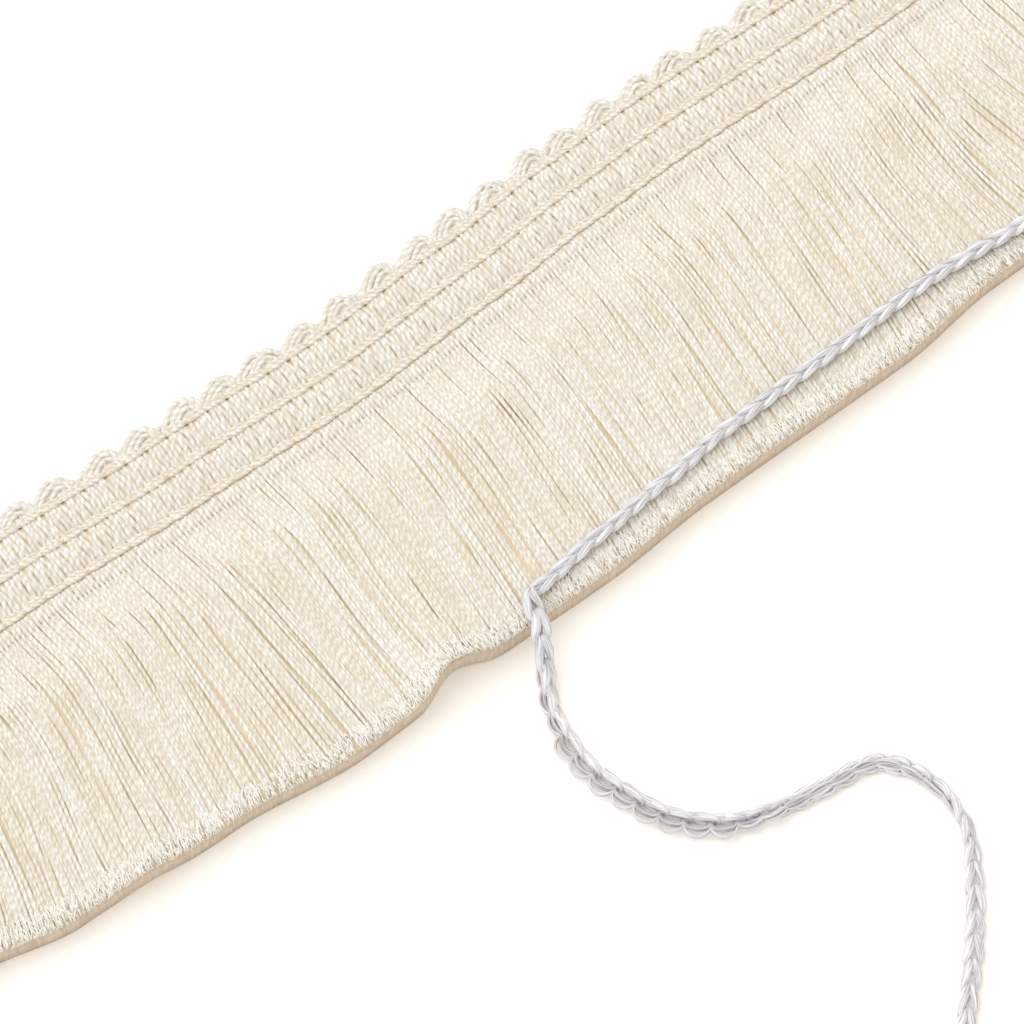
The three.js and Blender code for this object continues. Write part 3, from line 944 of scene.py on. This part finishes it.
def make_picots():
    """Each picot leans along the trim: its loops climb slowly and drop steeply."""
    lines = []
    for k in range(STITCHES // 2):
        slip = rng.normal(0, PICOT_SLIP)
        tall = rng.normal(1.0, PICOT_UNEVEN)
        for row in PICOT_LOOPS:
            wide = row["right"] - row["left"]
            points = [(row["left"] + wide * share, row["height"] * tall * high,
                       row["z"] - PICOT_FOOT_DROP * (high < PICOT_FOOT)) for share, high in PICOT_CURVE]
            curve = catmull(points, PICOT_STEPS)
            jitter = rng.normal(0, PICOT_LOOP_UNEVEN, 2)
            run = (k + curve[:, 0] + jitter[0] + slip) * PICOT
            x = START_X + np.clip(run, END_INSET, LENGTH - END_INSET)
            y = PICOT_ROOT + curve[:, 1] + jitter[1] + shift_at(x)
            lines.append(np.stack([x, y, curve[:, 2]], axis=-1))
    tones = PICOT_TONE + rng.normal(0, PICOT_TONE_UNEVEN, len(lines))
    piece = yarn_mesh("picot_loops", np.array(lines), PICOT_RADIUS, YARN_SIDES, tones, FRINGE_YARN,
                      PICOT_SHADE)
    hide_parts("picot_edge")


make_picots()


# Packed yarns below the top ones, from the heading to the face where all are cut off together. Their shares
# of the fringe's length go below 0 in the heading, where CORE_HEADING millimetres count as 1.
CORE_BACK = -0.34
CORE_TOP = 3.68
CORE_ROOT = 1.9
CORE_LOW = 0.5
CORE_CUT_LOW = 0.05
CORE_HEADING = 36.0
CORE_PUFF = 0.65
CORE_SINKS = (-0.04, -0.08)
CORE_SINK_DROP = 0.6
CORE_ENDS = (0.92, 1.0)
CORE_END_DROP = 0.12
CORE_CUTS_ALONG = 300
CORE_CUTS_DOWN = 40
CORE_EDGE = 0.012
CUT_FACE_TILT = -0.6


def core_place(root_x, v):
    """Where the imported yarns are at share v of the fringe, below 0 in the heading: x, y, lowest and top z."""
    x, y, tip_x = fringe_place(root_x, np.maximum(v, 0))
    y = y + np.maximum(-v, 0) * CORE_HEADING
    puff = puff_at(y - shift_at(x)) * (v < 0)
    lift = rise_at(tip_x) * np.maximum(v, 0) ** RISE_SHARPNESS
    end = smoothstep(*CORE_ENDS, v)
    top = CORE_ROOT + (CORE_TOP - CORE_ROOT) * smoothstep(0, BODY_BEGINS, v) - CORE_END_DROP * end + lift
    top += CORE_PUFF * puff - CORE_SINK_DROP * smoothstep(*CORE_SINKS, v)
    low = CORE_LOW + (CORE_CUT_LOW - CORE_LOW) * end + lift
    return x, y, low, top


def make_core():
    """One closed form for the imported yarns, with the cut face along its front."""
    shape = bmesh.new()
    bmesh.ops.create_cube(shape, size=1.0)
    bmesh.ops.translate(shape, vec=(0.5, 0.5, 0.5), verts=shape.verts)
    front_top = [e for e in shape.edges if all(v.co.y < 0.1 and v.co.z > 0.9 for v in e.verts)]
    bmesh.ops.bevel(shape, geom=front_top, offset=CORE_EDGE, affect="EDGES", segments=3, profile=0.5,
                    material=-1)
    lengthwise = [e for e in shape.edges if abs(e.verts[0].co.x - e.verts[1].co.x) > 0.5]
    bmesh.ops.subdivide_edges(shape, edges=lengthwise, cuts=CORE_CUTS_ALONG, use_grid_fill=True)
    deepwise = [e for e in shape.edges if abs(e.verts[0].co.y - e.verts[1].co.y) > 0.5]
    bmesh.ops.subdivide_edges(shape, edges=deepwise, cuts=CORE_CUTS_DOWN, use_grid_fill=True)
    at = np.array([v.co for v in shape.verts])
    x, y, low, top = core_place(START_X + LENGTH * at[:, 0], 1 + (CORE_BACK - 1) * at[:, 1])
    z = low + (top - low) * at[:, 2]
    for vert, place in zip(shape.verts, np.stack([x, y, z], axis=1) * MM):
        vert.co = place
    bmesh.ops.recalc_face_normals(shape, faces=shape.faces)
    mesh = bpy.data.meshes.new("fringe_core")
    shape.to_mesh(mesh)
    shape.free()
    mesh.polygons.foreach_set("use_smooth", np.ones(len(mesh.polygons), bool))
    mesh.materials.append(PACKED_YARNS_PAINTED_SHADE)
    mesh.materials.append(CUT_ENDS_PAINTED_SHADE)
    for face in mesh.polygons:
        face.material_index = 1 if face.normal.y < CUT_FACE_TILT else 0
    piece = bpy.data.objects.new("fringe_core", mesh)
    bpy.context.scene.collection.objects.link(piece)
    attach(piece, "root")


make_core()

SIDE_YARNS = 6
SIDE_STEPS = 30
SIDE_RADIUS = 0.38
SIDE_OUT = 0.1
SIDE_END = 0.99
SIDE_SWAY = 0.15
SIDE_SWAY_TURNS = 1.5
SIDE_SWAY_SHARE = 0.4
SIDE_TONE = 0.97
SIDE_UNEVEN = 0.02
SIDE_SHADE = 0.3


def make_side_yarns():
    """Outermost yarns at the two ends of the trim, one above another."""
    v = np.linspace(CORE_BACK, SIDE_END, SIDE_STEPS)
    lines = []
    for root_x, out in ((START_X, -SIDE_OUT), (START_X + LENGTH, SIDE_OUT)):
        x, y, low, top = core_place(np.full(SIDE_STEPS, root_x), v)
        for share in np.linspace(0.0, 1.0, SIDE_YARNS):
            sway = waver(1, np.clip(v, 0, 1), SIDE_SWAY, SIDE_SWAY_TURNS)[0]
            z = np.maximum(low + (top - low) * share, SIDE_RADIUS)
            lines.append(np.stack([x + out + SIDE_SWAY_SHARE * sway, y, z], axis=-1))
    tones = SIDE_TONE + rng.normal(0, SIDE_UNEVEN, len(lines))
    piece = yarn_mesh("fringe_yarns_sides", np.array(lines), SIDE_RADIUS, YARN_SIDES, tones, FRINGE_YARN,
                      SIDE_SHADE)


make_side_yarns()

# Loose fibres at the cut ends of the upper yarns.
FUZZ_TO_YARN = 9
FUZZ_STEPS = 4
FUZZ_SIDES = 4
FUZZ_RADIUS = 0.1
FUZZ_TAPER = 0.6
FUZZ_ROOT_BACK = (0.0, 2.6)
FUZZ_ROOT_UP = (-0.1, 0.34)
FUZZ_ROOT_ASIDE = 0.22
FUZZ_AIM_ASIDE = 0.22
FUZZ_AIM_UP = 0.06
FUZZ_AIM_UNEVEN = 0.1
FUZZ_REACH = (0.5, 1.5)
FUZZ_SAG = 0.25
FUZZ_BOW = 0.1
FUZZ_PAST_CUT = 0.1
FUZZ_UNEVEN = 0.02
FUZZ_PAINTED_SHADE = 0.09
FUZZ_PAINTED_SHADE_REACH = 0.6


def make_fuzz():
    """Short single fibres that stand out round the cut ends and sag a little."""
    ends = np.repeat(np.concatenate(fringe_ends), FUZZ_TO_YARN, axis=0)
    count = len(ends)
    back = rng.uniform(*FUZZ_ROOT_BACK, (count, 1))
    ahead = ends[:, -1] - ends[:, -3]
    ahead /= np.linalg.norm(ahead, axis=1, keepdims=True)
    start = ends[:, -1] - ahead * back
    start[:, 2] += rng.uniform(*FUZZ_ROOT_UP, count)
    start[:, 0] += rng.normal(0, FUZZ_ROOT_ASIDE, count)
    aside = rng.normal(0, FUZZ_AIM_ASIDE, count)
    up = rng.normal(FUZZ_AIM_UP, FUZZ_AIM_UNEVEN, count)
    aim = ahead + np.stack([aside, np.zeros(count), up], axis=1)
    reach = rng.uniform(*FUZZ_REACH, (count, 1))
    t = np.linspace(0, 1, FUZZ_STEPS)
    lines = start[:, None, :] + (aim * reach)[:, None, :] * t[None, :, None]
    lines[..., 2] -= FUZZ_SAG * reach * t[None, :] ** 2
    lines[..., 0] += rng.normal(0, FUZZ_BOW, (count, 1)) * np.sin(np.pi * t)[None, :]
    cut = along(CUT, "y", lines[..., 0])
    lines[..., 1] = np.maximum(lines[..., 1], cut - FUZZ_PAST_CUT)
    radii = FUZZ_RADIUS * (1 - FUZZ_TAPER * t[None, :] ** 2)
    # Painted shade near the cut: fibres there get a lower tone, which the fibre material turns tan and darker.
    painted_shade_near_cut = 1 - smoothstep(0, FUZZ_PAINTED_SHADE_REACH, lines[..., 1] - cut)
    tones = 1.0 + rng.normal(0, FUZZ_UNEVEN, (count, 1)) - FUZZ_PAINTED_SHADE * painted_shade_near_cut
    piece = yarn_mesh("fringe_fuzz", lines, radii, FUZZ_SIDES, tones, FIBRE)


make_fuzz()


# Floor and light
FLOOR_HALF = 2.0
FLOOR_GLOW = 0.15
SKY_COLOUR = (1.0, 0.99, 0.97, 1.0)
SKY_STRENGTH = 0.83
KEY_STRENGTH = 1.2
KEY_SPREAD = math.radians(60)
KEY_FROM = (-0.3, 0.65, 1.0)


def make_floor():
    """White card: matt, with a faint glow of its own so that it shows as white as in bright light."""
    made, tree = material("white_card")
    shader = node(tree, "ShaderNodeBsdfPrincipled",
                  {"Base Color": srgb("#FCFAF6"), "Emission Color": srgb("#FFF6E8"),
                   "Emission Strength": FLOOR_GLOW}, Roughness=0.9)
    finish_material(tree, shader)
    shape = bmesh.new()
    bmesh.ops.create_grid(shape, x_segments=1, y_segments=1, size=FLOOR_HALF)
    mesh = bpy.data.meshes.new("floor")
    shape.to_mesh(mesh)
    shape.free()
    mesh.materials.append(made)
    floor = bpy.data.objects.new("floor", mesh)
    bpy.context.scene.collection.objects.link(floor)


make_floor()


def make_light():
    world = bpy.data.worlds.new("studio")
    world.use_nodes = True
    sky = world.node_tree.nodes["Background"]
    sky.inputs["Color"].default_value = SKY_COLOUR
    sky.inputs["Strength"].default_value = SKY_STRENGTH
    bpy.context.scene.world = world
    data = bpy.data.lights.new("key", "SUN")
    data.energy = KEY_STRENGTH
    data.angle = KEY_SPREAD
    key = bpy.data.objects.new("key", data)
    bpy.context.scene.collection.objects.link(key)
    key.rotation_euler = Vector(KEY_FROM).to_track_quat("Z", "Y").to_euler()
    bpy.context.scene.view_settings.view_transform = "Standard"


make_light()
